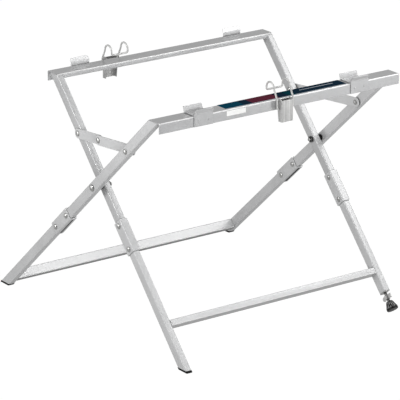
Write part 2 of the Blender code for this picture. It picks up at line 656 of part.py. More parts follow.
def latch_lever(name, outward, x):
    """Draw the channel lever, its origin on the pin's axis."""
    front = LEVER_OUT - LATCH_PIN_OUT
    low = LATCH_PIN_DOWN - LEVER_HEIGHT
    corner = math.acos(front / LEVER_END_RADIUS)
    outline = []
    for step in range(9):
        angle = corner + (math.pi - corner) * step / 8
        outline.append((LEVER_END_RADIUS * math.cos(angle), LEVER_END_RADIUS * math.sin(angle)))
    outline += [(-LEVER_TAPER_BACK, low + LEVER_TAPER_UP), (-LEVER_TAIL_BACK, low), (front, low)]
    edge = bar_edge(outward)
    place = (x, edge.y + outward * LATCH_PIN_OUT, edge.z - LATCH_PIN_DOWN)
    bm = bmesh.new()
    extrude_x(bm, [(outward * out, up) for out, up in outline], -LEVER_HALF_WIDTH, LEVER_HALF_WIDTH)
    lever = finish(name, bm, LATCH_STEEL, None, place)
    low_y, high_y = sorted((outward * (front - LATCH_SHEET), -outward * 2 * LEVER_OUT))
    hollow = box_cutter(f"{name}_hollow", (-LEVER_HALF_WIDTH + LATCH_SHEET, low_y, -2 * LEVER_HEIGHT),
                        (LEVER_HALF_WIDTH - LATCH_SHEET, high_y, LEVER_HEIGHT), place)
    combine(lever, hollow, "DIFFERENCE")
    bail = (outward * (BAIL_OUT - LATCH_PIN_OUT), LATCH_PIN_DOWN - BAIL_DOWN, BAIL_WIRE + GAP)
    holes = ((0.0, 0.0, LATCH_PIN_RADIUS + GAP), bail)
    combine(lever, x_cutter(f"{name}_holes", holes, 2 * LEVER_HALF_WIDTH, None, place), "DIFFERENCE")


def bent_path(points, radius, steps=4):
    """Return the path through the points with every corner rounded."""
    path = [Vector(points[0])]
    for before, here, after in zip(points, points[1:], points[2:]):
        here = Vector(here)
        back = (Vector(before) - here).normalized()
        ahead = (Vector(after) - here).normalized()
        half_turn = back.angle(ahead) / 2
        centre = here + (back + ahead).normalized() * radius / math.sin(half_turn)
        start = (here + back * radius / math.tan(half_turn) - centre).normalized()
        end = (here + ahead * radius / math.tan(half_turn) - centre).normalized()
        for step in range(steps + 1):
            path.append(centre + start.slerp(end, step / steps) * radius)
    path.append(Vector(points[-1]))
    return path


def wire(bm, path, radius, steps=10):
    """Sweep a round wire along the path."""
    rings = []
    across = Vector((0.0, 0.0, 1.0))
    for index, here in enumerate(path):
        before = path[max(index - 1, 0)]
        after = path[min(index + 1, len(path) - 1)]
        along = (after - before).normalized()
        across = (across - along * across.dot(along)).normalized()
        other = along.cross(across)
        rings.append([bm.verts.new(here + across * a + other * b) for a, b in circle(radius, steps)])
    skin(bm, rings)


def latch_bail(name, outward, x):
    """Draw the wire bail: in at the lever's sides, up, leaning in over the bar and across."""
    def place(side, out, up):
        return Vector((side * BAIL_HALF_SPACING, outward * (out - BAIL_OUT), up + BAIL_DOWN))

    inside = LEVER_HALF_WIDTH - LATCH_SHEET - MM
    hook_in = -BAIL_HOOK_IN - 2 * BAIL_HOOK_RADIUS
    sides = []
    for side in (-1, 1):
        hinge = place(side, BAIL_OUT, -BAIL_DOWN)
        start = Vector((side * inside, hinge.y, hinge.z))
        lean = place(side, BAIL_OUT, BAIL_LEAN_UP)
        path = bent_path((start, hinge, lean, place(side, -BAIL_HOOK_IN, BAIL_HOOK_UP)), BAIL_BEND)
        for step in range(1, 9):
            angle = math.pi * step / 8
            path.append(place(side, -BAIL_HOOK_IN - BAIL_HOOK_RADIUS * (1 - math.cos(angle)),
                              BAIL_HOOK_UP + BAIL_HOOK_RADIUS * math.sin(angle)))
        sides.append(path)
    left, right = sides
    nose = (left.pop(), place(-1, hook_in, BAIL_CROSS_UP), place(1, hook_in, BAIL_CROSS_UP), right.pop())
    bm = bmesh.new()
    wire(bm, left + bent_path(nose, BAIL_BEND) + right[::-1], BAIL_WIRE)
    edge = bar_edge(outward)
    finish(name, bm, LATCH_STEEL, None, (x, edge.y + outward * BAIL_OUT, edge.z - BAIL_DOWN))


for outward, word, x in ((-1, "front", FRONT_LATCH_X), (1, "rear", REAR_LATCH_X)):
    latch_bracket(f"{word}_latch_bracket", outward, x)
    latch_lever(f"{word}_latch_lever", outward, x)
    latch_bail(f"{word}_latch_bail", outward, x)


# Feet
PLUG_SLACK = 2 * (TUBE_WALL + GAP)
PLUG_OUTLINE = rounded_rectangle(TUBE_WIDTH - PLUG_SLACK, TUBE_DEPTH - PLUG_SLACK, TUBE_CORNER - TUBE_WALL)


def foot_cap(name, x, parent, turn):
    """Draw a cap under a leg, level on the floor, with its plug inside the tube."""
    rim = rounded_rectangle(TUBE_WIDTH + 2 * CAP_RIM, TUBE_DEPTH + 2 * CAP_RIM, TUBE_CORNER)
    levels = ((rim, 0.0), (rim, CAP_THICKNESS), (PLUG_OUTLINE, CAP_THICKNESS),
              (PLUG_OUTLINE, CAP_THICKNESS + CAP_PLUG))
    bm = bmesh.new()
    rings = []
    for outline, height in levels:
        end = level_end(height, turn)
        rings.append([bm.verts.new((a, end(b), b)) for a, b in outline])
    skin(bm, rings)
    finish(name, bm, BLACK_PLASTIC, parent, (x, 0.0, 0.0))


for side, word in ((-1, "left"), (1, "right")):
    foot_cap(f"rear_{word}_foot_cap", side * (OUTER_HALF_WIDTH - TUBE_WIDTH / 2), outer_frame, OUTER_TURN)
foot_cap("front_left_foot_cap", TUBE_WIDTH / 2 - INNER_HALF_WIDTH, inner_frame, INNER_TURN)


def along_leg(name, levels, material, closed=False):
    """Draw a piece of the levelling foot from its (y, outline) levels along the leg."""
    bm = bmesh.new()
    rings = []
    for y, outline in levels:
        rings.append([bm.verts.new((a, y, b)) for a, b in outline])
    skin(bm, rings, closed)
    return finish(name, bm, material, inner_frame, (INNER_HALF_WIDTH - TUBE_WIDTH / 2, 0.0, 0.0))


def levelling_insert():
    """Draw the threaded insert that closes the end of the fourth leg."""
    bore = circle(STUD_RADIUS + GAP)
    top = -LEVELLED_LEG_END - GAP
    levels = ((top - INSERT_FLANGE, TUBE_OUTSIDE), (top, TUBE_OUTSIDE), (top, PLUG_OUTLINE),
              (top + INSERT_PLUG, PLUG_OUTLINE), (top + INSERT_PLUG, bore), (top - INSERT_FLANGE, bore))
    along_leg("levelling_insert", levels, PLATED_STEEL, closed=True)


def wing_outline(side):
    """Return a wing as (along the leg, over its depth) points, from the hub to its round end."""
    root = side * (STUD_RADIUS + MM)
    points = [(WING_ROOT_HALF_HEIGHT, root), (-WING_ROOT_HALF_HEIGHT, root)]
    for step in range(9):
        angle = WING_END_TURN * (step / 4 - 1)
        points.append((WING_END_RADIUS * math.sin(angle),
                       side * (WING_REACH + WING_END_RADIUS * math.cos(angle))))
    return points


def wing_nut():
    """Draw a tapered hub with a flat round-ended wing on either side, over the leg's depth."""
    low = -WING_NUT_BELOW - WING_NUT_HEIGHT / 2
    top = -WING_NUT_BELOW + WING_NUT_HEIGHT / 2
    bore = circle(STUD_RADIUS + GAP)
    levels = ((low, circle(WING_NUT_TIP_RADIUS)), (top, circle(WING_NUT_RADIUS)), (top, bore), (low, bore))
    hub = along_leg("levelling_wing_nut", levels, PLATED_STEEL, closed=True)
    for side, word in ((-1, "rear"), (1, "front")):
        bm = bmesh.new()
        extrude_x(bm, wing_outline(side), -WING_THICKNESS / 2, WING_THICKNESS / 2)
        place = (INNER_HALF_WIDTH - TUBE_WIDTH / 2, -WING_NUT_BELOW, 0.0)
        combine(hub, finish(f"levelling_{word}_wing", bm, PLATED_STEEL, inner_frame, place), "UNION")


def ribbed(radius, rib):
    """Return a circle with shallow ribs, two points for each rib."""
    points = []
    for step in range(2 * FOOT_RIBS):
        angle = math.pi * step / FOOT_RIBS
        reach = radius - rib * (step % 2)
        points.append((reach * math.cos(angle), reach * math.sin(angle)))
    return points


def levelling_foot():
    """Draw the stud and the ribbed rubber foot on its end."""
    rim_low = -(PIVOT_HEIGHT - FOOT_RADIUS * math.cos(INNER_ANGLE)) / math.sin(INNER_ANGLE)
    top = rim_low + FOOT_HEIGHT
    stud = circle(STUD_RADIUS)
    stud_top = STUD_IN_LEG - LEVELLED_LEG_END
    along_leg("levelling_stud", ((top - STUD_IN_FOOT, stud), (stud_top - MM, stud),
                                 (stud_top, circle(STUD_RADIUS - MM))), PLATED_STEEL)

    neck = FOOT_TOP_RADIUS + MM
    socket = circle(STUD_RADIUS + GAP, 2 * FOOT_RIBS)
    levels = ((rim_low - 0.8 * MM, ribbed(FOOT_RADIUS - MM, 0.0)),
              (rim_low, ribbed(FOOT_RADIUS, 0.0)),
              (rim_low + FOOT_RIM, ribbed(FOOT_RADIUS, 0.0)),
              (rim_low + FOOT_RIM + 2 * MM, ribbed(FOOT_RADIUS - MM, FOOT_RIB_DEPTH)),
              (top - 3 * MM, ribbed(neck, FOOT_RIB_DEPTH)),
              (top, ribbed(FOOT_TOP_RADIUS - MM, 0.0)),
              (top, socket), (top - STUD_IN_FOOT - GAP, socket))
    along_leg("levelling_rubber_foot", levels, BLACK_RUBBER)


levelling_insert()
wing_nut()
levelling_foot()
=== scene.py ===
# Folding saw stand: the finish of every piece, the small fixings and the studio.
#
# World axes: X along the top bars, Y from the front bar to the rear bar, Z up, all in metres.

import json
import math

import bmesh
import bpy
from mathutils import Matrix, Vector


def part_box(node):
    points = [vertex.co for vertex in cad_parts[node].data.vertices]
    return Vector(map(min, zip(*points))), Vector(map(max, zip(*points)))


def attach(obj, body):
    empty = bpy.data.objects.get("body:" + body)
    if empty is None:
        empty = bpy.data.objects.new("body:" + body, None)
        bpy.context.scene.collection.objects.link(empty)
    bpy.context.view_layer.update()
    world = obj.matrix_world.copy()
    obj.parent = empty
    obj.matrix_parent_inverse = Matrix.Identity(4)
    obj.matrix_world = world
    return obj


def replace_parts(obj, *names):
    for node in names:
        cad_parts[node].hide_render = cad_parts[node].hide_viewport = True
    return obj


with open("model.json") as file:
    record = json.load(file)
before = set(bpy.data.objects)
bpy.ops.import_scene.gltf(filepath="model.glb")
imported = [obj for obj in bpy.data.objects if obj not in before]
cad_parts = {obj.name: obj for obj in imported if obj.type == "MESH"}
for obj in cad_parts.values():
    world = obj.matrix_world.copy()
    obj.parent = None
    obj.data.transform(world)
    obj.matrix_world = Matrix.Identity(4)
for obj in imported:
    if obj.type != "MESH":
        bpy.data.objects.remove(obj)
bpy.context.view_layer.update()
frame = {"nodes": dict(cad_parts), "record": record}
MM = 0.001


# The view
#
# The stand is seen from the front left and a little above.
# The camera is far away, so that the stand's edges stay nearly parallel.
VIEW_AZIMUTH = math.radians(-35.509)
VIEW_ELEVATION = math.radians(18.879)
VIEW_DISTANCE = 6.9741
VIEW_LENS = 259.65                  # for a sensor 36 mm wide
VIEW_MIDDLE = Vector((0.0, -0.0316, 0.2603))
VIEW_LEFT_OF_MIDDLE = 24.8 * MM

to_right = Vector((math.cos(VIEW_AZIMUTH), math.sin(VIEW_AZIMUTH), 0.0))
to_camera = Vector((math.sin(VIEW_AZIMUTH) * math.cos(VIEW_ELEVATION),
                    -math.cos(VIEW_AZIMUTH) * math.cos(VIEW_ELEVATION),
                    math.sin(VIEW_ELEVATION)))
camera = bpy.data.objects.new("camera", bpy.data.cameras.new("camera"))
camera.data.lens = VIEW_LENS
camera.data.sensor_width = 36.0
camera.location = VIEW_MIDDLE - VIEW_LEFT_OF_MIDDLE * to_right + VIEW_DISTANCE * to_camera
camera.rotation_euler = to_camera.to_track_quat("Z", "Y").to_euler()
bpy.context.scene.collection.objects.link(camera)
bpy.context.scene.camera = camera
bpy.context.scene.view_settings.view_transform = "Standard"


# The studio
#
# The stand is on a white floor in a white room. The room's end behind the camera is unlit, which shows
# only in the gloss. A large soft lamp at the front left does most of the lighting. Four weaker ones lift
# the front faces, the upper faces, the left sides and the tubes' left corners.
class Socket:
    """One output of a node; arithmetic on it adds Math nodes."""

    def __init__(self, finish, output):
        self.finish = finish
        self.output = output

    def math(self, operation, first, second):
        return self.finish.add("ShaderNodeMath", {"operation": operation}, {0: first, 1: second})

    def __add__(self, other):
        return self.math("ADD", self, other)

    def __radd__(self, other):
        return self.math("ADD", other, self)

    def __sub__(self, other):
        return self.math("SUBTRACT", self, other)

    def __rsub__(self, other):
        return self.math("SUBTRACT", other, self)

    def __mul__(self, other):
        return self.math("MULTIPLY", self, other)

    def __rmul__(self, other):
        return self.math("MULTIPLY", other, self)

    def __gt__(self, other):
        return self.math("GREATER_THAN", self, other)

    def __lt__(self, other):
        return self.math("LESS_THAN", self, other)


class Finish:
    """A material or world under construction, with one method that adds any node."""

    def __init__(self, owner):
        owner.use_nodes = True
        self.owner = owner
        self.tree = owner.node_tree

    def add(self, kind, settings, sockets, output=0):
        """Add a node: its settings first, then the values or links of its sockets."""
        node = self.tree.nodes.new(kind)
        for name, value in settings.items():
            setattr(node, name, value)
        self.feed(node, sockets)
        return Socket(self, node.outputs[output])

    def feed(self, node, sockets):
        """Set or link a node's inputs."""
        for key, value in sockets.items():
            if isinstance(value, Socket):
                self.tree.links.new(value.output, node.inputs[key])
            else:
                node.inputs[key].default_value = value

    def shader(self, sockets):
        """Set or link the inputs of the material's own surface shader."""
        self.feed(self.tree.nodes["Principled BSDF"], sockets)

    def surface(self, shader, output="Material Output"):
        """Use another shader for the surface."""
        self.tree.links.new(shader.output, self.tree.nodes[output].inputs["Surface"])

    def rays(self):
        """Return 1 for what is seen straight or through glass, and 1 for what is mirrored in a gloss."""
        seen = self.add("ShaderNodeLightPath", {}, {}, "Is Camera Ray")
        through = self.add("ShaderNodeLightPath", {}, {}, "Is Transmission Ray")
        mirrored = self.add("ShaderNodeLightPath", {}, {}, "Is Glossy Ray")
        return (seen + through) > 0.5, mirrored

    def place(self, stretch=(1.0, 1.0, 1.0)):
        """Return the piece's own coordinates, stretched."""
        own = self.add("ShaderNodeTexCoord", {}, {}, "Object")
        return self.add("ShaderNodeMapping", {}, {"Vector": own, "Scale": stretch})

    def along(self, vector, axis):
        """Return how far a vector goes along X, Y or Z."""
        return self.add("ShaderNodeSeparateXYZ", {}, {"Vector": vector}, axis)

    def noise(self, place, per_metre, detail):
        """Return a noise with this many blotches to the metre."""
        return self.add("ShaderNodeTexNoise", {}, {"Vector": place, "Scale": per_metre, "Detail": detail})

    def smooth_range(self, value, low, high, start=0.0, end=1.0):
        """Return start where the value is low and end where it is high, with a smooth change."""
        sockets = {"Value": value, "From Min": low, "From Max": high, "To Min": start, "To Max": end}
        return self.add("ShaderNodeMapRange", {"interpolation_type": "SMOOTHSTEP"}, sockets)

    def blend(self, share, first, second):
        """Return the first colour where the share is 0 and the second where it is 1."""
        colour_a, colour_b, colour_out = 6, 7, 2
        sockets = {"Factor": share, colour_a: first, colour_b: second}
        return self.add("ShaderNodeMix", {"data_type": "RGBA"}, sockets, colour_out)

    def crevice(self, reach):
        """Return 1 deep in a corner or seam and 0 in the open."""
        open_in_seam = 0.35
        open_on_face = 0.95
        open_share = self.add("ShaderNodeAmbientOcclusion", {"samples": 8}, {"Distance": reach}, "AO")
        return self.smooth_range(open_share, open_in_seam, open_on_face, 1.0, 0.0)

    def bump(self, height, strength, depth):
        """Return a normal with this relief, its depth in metres."""
        return self.add("ShaderNodeBump", {}, {"Height": height, "Strength": strength, "Distance": depth})


WHITE = (1.0, 1.0, 1.0, 1.0)
SKY_LIGHT = 0.36                    # for the paint's own colour
MIRRORED_SKY = 0.55                 # for what shines in the gloss
MIRRORED_DARK_END = 0.03            # the same, in the direction of the room's unlit end
DARK_END = Vector((-0.55, -0.77, 0.32))
DARK_END_RIM = 0.75                 # cosine of the angle from its middle where the gloss starts to darken
DARK_END_CORE = 0.93                # and where it is darkest

studio = Finish(bpy.data.worlds.new("studio"))
bpy.context.scene.world = studio.owner
straight, mirrored = studio.rays()
looking = studio.add("ShaderNodeTexCoord", {}, {}, "Generated")
to_dark_end = studio.add(
    "ShaderNodeVectorMath", {"operation": "DOT_PRODUCT"}, {0: looking, 1: DARK_END}, "Value")
mirrored_sky = studio.smooth_range(
    to_dark_end, DARK_END_RIM, DARK_END_CORE, MIRRORED_SKY, MIRRORED_DARK_END)
level = SKY_LIGHT + straight * (1.0 - SKY_LIGHT) + mirrored * (mirrored_sky - SKY_LIGHT)
studio.surface(studio.add("ShaderNodeBackground", {}, {"Color": WHITE, "Strength": level}), "World Output")

FLOOR_SIZE = 60.0
FLOOR_GREY = (0.30, 0.30, 0.30, 1.0)
FLOOR_GLOW = 1.06
FLOOR_OWN_WHITE = 0.95              # share of the floor's look that shadows leave alone
FLOOR_MIRRORED_WHITE = 0.35

floor_finish = Finish(bpy.data.materials.new("white_floor"))
floor_lit = floor_finish.add("ShaderNodeBsdfDiffuse", {}, {"Color": FLOOR_GREY})
floor_white = floor_finish.add("ShaderNodeEmission", {}, {"Color": WHITE, "Strength": FLOOR_GLOW})
floor_straight, floor_mirrored = floor_finish.rays()
floor_share = floor_straight * FLOOR_OWN_WHITE + floor_mirrored * FLOOR_MIRRORED_WHITE
floor_finish.surface(floor_finish.add(
    "ShaderNodeMixShader", {}, {0: floor_share, 1: floor_lit, 2: floor_white}))

bm = bmesh.new()
bmesh.ops.create_grid(bm, x_segments=1, y_segments=1, size=FLOOR_SIZE / 2)
floor_mesh = bpy.data.meshes.new("floor")
bm.to_mesh(floor_mesh)
bm.free()
floor_mesh.materials.append(floor_finish.owner)
floor = bpy.data.objects.new("floor", floor_mesh)
bpy.context.scene.collection.objects.link(floor)


def add_lamp(name, direction, distance, size, watts):
    """Hang a square lamp that shines at the stand's middle."""
    lamp = bpy.data.objects.new(name, bpy.data.lights.new(name, "AREA"))
    lamp.data.size = size
    lamp.data.energy = watts
    away = Vector(direction).normalized()
    lamp.location = VIEW_MIDDLE + distance * away
    lamp.rotation_euler = away.to_track_quat("Z", "Y").to_euler()
    bpy.context.scene.collection.objects.link(lamp)
    return lamp


main_lamp = add_lamp("front_left_lamp", (-0.47, -0.87, 0.01), distance=4.2, size=2.0, watts=162.0)
main_lamp.visible_glossy = False    # the gloss shows the room's unlit end instead
add_lamp("front_right_lamp", (0.55, -0.83, 0.04), distance=2.6, size=1.0, watts=12.0)
add_lamp("high_right_lamp", (0.60, -0.32, 0.73), distance=1.9, size=0.8, watts=6.8)
add_lamp("low_left_lamp", (-0.86, 0.50, 0.02), distance=2.2, size=1.0, watts=11.0)
add_lamp("left_edge_lamp", (-0.74, -0.15, 0.545), distance=3.0, size=0.5, watts=17.0)


# Leg tubes
#
# Welded steel tube, 16 x 25 mm with rounded corners, each leg in an upper and a lower half.
# It is sprayed silver-grey: fine bright flakes in the coat, a little orange peel, a soft gloss.
FLAKES_PER_METRE = 2600.0
CLOUDS_PER_METRE = 14.0
PEEL_PER_METRE = 420.0
RUBS_PER_METRE = 55.0
PEEL_DEPTH = 0.06 * MM
SEAM_REACH = 4 * MM                 # how far the painted shade reaches from a seam
FOLD_HIGHLIGHT = (0.92, 0.92, 0.92, 1.0)
UNDERSIDE_SHADE = (0.02, 0.02, 0.02, 1.0)


def shade(colour, share):
    """Return a colour made darker or lighter."""
    return (*[min(1.0, value * share) for value in colour], 1.0)


def sprayed_silver(name, colour, roughness, underside=1.0, folds=0.0):
    """Return the stand's silver paint over steel.

    Underside is the share of brightness that faces turned down keep under a painted shade. Folds is the
    share of the coat that is lightened by a painted highlight where sheet is folded between its top and its
    front or back.
    """
    finish = Finish(bpy.data.materials.new(name))
    place = finish.place()
    flakes = finish.noise(place, FLAKES_PER_METRE, 2.0)
    clouds = finish.noise(place, CLOUDS_PER_METRE, 3.0)
    peel = finish.noise(place, PEEL_PER_METRE, 2.0)
    rubbed = finish.smooth_range(finish.noise(place, RUBS_PER_METRE, 6.0), 0.66, 0.76)
    darker = shade(colour, 0.93)
    lighter = shade(colour, 1.05)
    seam_shade = shade(colour, 0.38)
    worn = shade(colour, 0.82)
    mottle = finish.smooth_range(clouds * 0.7 + flakes * 0.3, 0.3, 0.7)
    coat = finish.blend(mottle, darker, lighter)
    # painted shade in corners and seams
    coat = finish.blend(finish.crevice(SEAM_REACH) * 0.8, coat, seam_shade)
    coat = finish.blend(rubbed * 0.5, coat, worn)
    facing = finish.add("ShaderNodeTexCoord", {}, {}, "Normal")
    facing_up = finish.along(facing, "Z")
    both_ways = facing_up * finish.along(facing, "Y")
    on_fold = finish.smooth_range(both_ways * both_ways, 0.02, 0.16)
    # painted highlight along the folds between the top and the front or back
    coat = finish.blend(on_fold * folds, coat, FOLD_HIGHLIGHT)
    # painted shade on faces turned down
    below = finish.smooth_range(facing_up, -0.6, -0.3, 1.0, 0.0)
    finish.shader({
        "Base Color": finish.blend(below * (1.0 - underside), coat, UNDERSIDE_SHADE),
        "Roughness": roughness + (clouds - 0.5) * 0.12 + rubbed * 0.08,
        "Metallic": 0.25,
        "Specular IOR Level": 0.35,
        "Coat Weight": 1.0,
        "Coat Roughness": 0.16,
        "Normal": finish.bump(peel + flakes * 0.1, 0.015, PEEL_DEPTH),
    })
    return finish.owner


LEG_SILVER = sprayed_silver("silver_paint_legs", (0.60, 0.603, 0.607), 0.40)
# The inner upper legs have a darker copy of the same paint, a painted shade for the less light that reaches
# them.
SHADED_LEG_SILVER = sprayed_silver("silver_paint_inner_upper_legs_painted_shade", (0.51, 0.513, 0.517), 0.40)
CUT_EDGE = 0.4 * MM
SHARP_CORNER = math.radians(50.0)

body_of_node = {}
for body_name, nodes in frame["record"]["behaviour"]["bodies"].items():
    for node_name in nodes:
        body_of_node[node_name] = body_name


def show(name, bm, node, material, smooth_angle=35.0):
    """Turn the mesh into a piece that rides on the same body as a CAD node."""
    mesh = bpy.data.meshes.new(name)
    bm.to_mesh(mesh)
    bm.free()
    mesh.materials.append(material)
    mesh.shade_smooth()
    mesh.set_sharp_from_angle(angle=math.radians(smooth_angle))
    piece = bpy.data.objects.new(name, mesh)
    bpy.context.scene.collection.objects.link(piece)
    even = piece.modifiers.new("flat faces stay flat", "WEIGHTED_NORMAL")
    even.weight = 90
    even.keep_sharp = True
    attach(piece, body_of_node[node])
    return piece


def merged_copy(node):
    """Return a CAD piece's mesh with its triangles merged into whole faces."""
    bm = bmesh.new()
    bm.from_mesh(frame["nodes"][node].data)
    bmesh.ops.remove_doubles(bm, verts=bm.verts[:], dist=0.01 * MM)
    bmesh.ops.dissolve_limit(bm, angle_limit=math.radians(0.5), verts=bm.verts[:], edges=bm.edges[:])
    return bm


def soften(node, material, edge=CUT_EDGE):
    """Show a copy of a CAD piece with its cut and folded edges slightly rounded."""
    bm = merged_copy(node)
    sharp = [line for line in bm.edges
             if len(line.link_faces) == 2 and line.calc_face_angle() > SHARP_CORNER]
    bmesh.ops.bevel(bm, geom=sharp, offset=edge, segments=2, profile=0.5, affect="EDGES",
                    material=-1, clamp_overlap=True)
    piece = show(f"{node}_finished", bm, node, material)
    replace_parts(piece, node)
    return piece


for side in ("left", "right"):
    for leg in ("outer_upper", "outer_lower", "inner_lower"):
        soften(f"{side}_{leg}_leg", LEG_SILVER)
    soften(f"{side}_inner_upper_leg", SHADED_LEG_SILVER)


# Leg sleeves
#
# Short sleeves folded from sheet around the joint of each leg's two halves and riveted through both.
# They have the legs' paint, a touch duller. Below, the sheet's edges leave a gap, narrower on the left,
# whose shade is painted as a thin dark layer on the solid's closed underside.
SLEEVE_SILVER = sprayed_silver("silver_paint_sleeves", (0.59, 0.593, 0.597), 0.43)
SLEEVE_EDGE = 0.6 * MM
GAP_FROM_EDGE = {"left": 7.5 * MM, "right": 5.5 * MM}
GAP_LAYER = 0.12 * MM
# the gap's painted shade, flecked with dust
GAP_SHADE = (0.06, 0.06, 0.06, 1.0)
GAP_DUST = (0.18, 0.18, 0.18, 1.0)

gap_finish = Finish(bpy.data.materials.new("painted_shade_in_sleeve_gap"))
gap_dust = gap_finish.noise(gap_finish.place(), 180.0, 5.0)
gap_finish.shader({
    "Base Color": gap_finish.blend(gap_dust * 0.5, GAP_SHADE, GAP_DUST),
    "Roughness": 0.7 + gap_dust * 0.2,
    "Specular IOR Level": 0.1,
    "Normal": gap_finish.bump(gap_dust, 0.10, 0.2 * MM),
})


def gap_below(sleeve, from_edge):
    """Lay the gap's painted shade, a thin dark layer, over the sleeve's underside, this far inside its
    edges.
    """
    bm = merged_copy(sleeve)
    below = [face for face in bm.faces if face.normal.z < -0.3 and abs(face.normal.x) < 0.01]
    widest = max(below, key=lambda face: face.calc_area())
    outward = widest.normal.copy()
    bmesh.ops.inset_region(bm, faces=[widest], thickness=from_edge)
    others = [face for face in bm.faces if face is not widest]
    bmesh.ops.delete(bm, geom=others, context="FACES")
    raised = bmesh.ops.extrude_face_region(bm, geom=bm.faces[:], use_keep_orig=True)["geom"]
    lifted = [part for part in raised if isinstance(part, bmesh.types.BMVert)]
    bmesh.ops.translate(bm, vec=outward * GAP_LAYER, verts=lifted)
    bmesh.ops.recalc_face_normals(bm, faces=bm.faces[:])
    show(f"{sleeve}_gap", bm, sleeve, gap_finish.owner)


for side, from_edge in GAP_FROM_EDGE.items():
    for leg in ("outer", "inner"):
        soften(f"{side}_{leg}_leg_sleeve", SLEEVE_SILVER, SLEEVE_EDGE)
        gap_below(f"{side}_{leg}_leg_sleeve", from_edge)


# Cross tubes
#
# The rear floor bar and the front crossbar are the same tube, butted between the legs and welded.
# Each weld is a low rippled bead, painted over with the frame. The tubes' undersides are darkened by a
# painted shade.
TUBE_HALF_DEPTH = 12.5 * MM
TUBE_HALF_WIDTH = 8 * MM
WELD_RADIUS = 1.5 * MM
WELD_RIPPLE = 1.3 * MM
WELD_DIP = 0.82                     # share of the radius that is left between two ripples
WELD_TIP = 0.35                     # and at either end of the bead
WELD_SIDES = 10
WELDED_SHARE = 0.75                 # of a cross tube's depth

FLOOR_BAR_SILVER = sprayed_silver("silver_paint_floor_bar", (0.63, 0.633, 0.637), 0.40, underside=0.25)
CROSSBAR_SILVER = sprayed_silver("silver_paint_crossbar", (0.64, 0.643, 0.647), 0.40, underside=0.66)
soften("rear_floor_bar", FLOOR_BAR_SILVER)
soften("front_crossbar", CROSSBAR_SILVER)


def sweep(path, radii, segments):
    """Return a round rod that follows the path, with its own radius at each point."""
    bm = bmesh.new()
    ring = bmesh.ops.create_circle(bm, cap_ends=True, segments=segments, radius=1.0)["verts"]
    lines = bm.edges[:]
    centre = Vector((0.0, 0.0, 0.0))
    facing = Vector((0.0, 0.0, 1.0))
    size = 1.0
    for index, (point, radius) in enumerate(zip(path, radii)):
        before = path[max(index - 1, 0)]
        after = path[min(index + 1, len(path) - 1)]
        along = (after - before).normalized()
        if index:
            grown = bmesh.ops.extrude_edge_only(bm, edges=lines)["geom"]
            ring = [part for part in grown if isinstance(part, bmesh.types.BMVert)]
            members = set(ring)
            lines = [line for line in bm.edges if set(line.verts) <= members]
        turn = facing.rotation_difference(along).to_matrix()
        bmesh.ops.translate(bm, vec=-centre, verts=ring)
        bmesh.ops.rotate(bm, cent=(0.0, 0.0, 0.0), matrix=turn, verts=ring)
        bmesh.ops.scale(bm, vec=[radius / size] * 3, verts=ring)
        bmesh.ops.translate(bm, vec=point, verts=ring)
        centre, facing, size = point, along, radius
    bmesh.ops.holes_fill(bm, edges=lines)
    bmesh.ops.recalc_face_normals(bm, faces=bm.faces[:])
    return bm


def weld(name, node, start, end):
    """Lay a rippled bead between two points and let it taper at both ends."""
    steps = max(4, round((end - start).length / WELD_RIPPLE) * 2)
    path = [start.lerp(end, step / steps) for step in range(steps + 1)]
    radii = []
    for step in range(steps + 1):
        steps_from_end = min(step, steps - step)
        taper = min(1.0, WELD_TIP + (1.0 - WELD_TIP) * steps_from_end / 2)
        ripple = 1.0 if step % 2 else WELD_DIP
        radii.append(WELD_RADIUS * taper * ripple)
    show(name, sweep(path, radii, WELD_SIDES), node, LEG_SILVER, smooth_angle=60.0)


for bar, leg, lean in (("rear_floor_bar", "left_outer_lower_leg", -1.0),
                       ("front_crossbar", "left_inner_lower_leg", 1.0)):
    low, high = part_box(bar)
    leg_low, leg_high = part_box(leg)
    rise = leg_high - leg_low
    up_leg = Vector((0.0, lean * rise.y, rise.z)).normalized()
    across_leg = Vector((0.0, -up_leg.z, up_leg.y))
    half = WELDED_SHARE * TUBE_HALF_DEPTH * across_leg
    for side, x in (("left", low.x), ("right", high.x)):
        end_middle = Vector((x, (low.y + high.y) / 2, (low.z + high.z) / 2))
        for edge, reach in (("top", 1), ("bottom", -1)):
            middle = end_middle + reach * TUBE_HALF_WIDTH * up_leg
            weld(f"{bar}_{side}_{edge}_weld", bar, middle - half, middle + half)


# Welds at the top bars
#
# Each upper leg passes through a flange of its top bar and is welded to it.
# One bead runs up the leg's inner side and one across its top.
WELD_BELOW_TOP = 1.7 * WELD_RADIUS

for side, word in ((-1, "left"), (1, "right")):
    for leg, bar, flange in (("inner", "rear_top_bar", 0), ("outer", "front_top_bar", 1)):
        node = f"{word}_{leg}_upper_leg"
        leg_low, leg_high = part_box(node)
        inner_x, outer_x = (leg_high.x, leg_low.x) if side < 0 else (leg_low.x, leg_high.x)
        bar_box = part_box(bar)
        flange_y = bar_box[flange].y
        start = Vector((inner_x, flange_y, bar_box[0].z + WELD_RADIUS))
        corner = Vector((inner_x, flange_y, bar_box[1].z - WELD_BELOW_TOP))
        end = Vector((outer_x - side * WELD_RADIUS, flange_y, corner.z))
        weld(f"{word}_{leg}_leg_side_weld", node, start, corner)
        weld(f"{word}_{leg}_leg_top_weld", node, corner, end)


# Top bars
#
# Two folded channels, open below, that carry the saw, in a smoother coat with a painted highlight on the
# folds.
# The front bar's top has a long printed film in plain bands, and its face a small blank tag.
# The bars' coat is a darker copy of the silver paint, a painted shade for the dark reflection on their tops.
SHADED_BAR_SILVER = sprayed_silver("silver_paint_bars_painted_dark", (0.43, 0.433, 0.438), 0.30, folds=0.9)
soften("front_top_bar", SHADED_BAR_SILVER)
soften("rear_top_bar", SHADED_BAR_SILVER)

front_bar_low, front_bar_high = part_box("front_top_bar")
front_bar_width = front_bar_high.y - front_bar_low.y

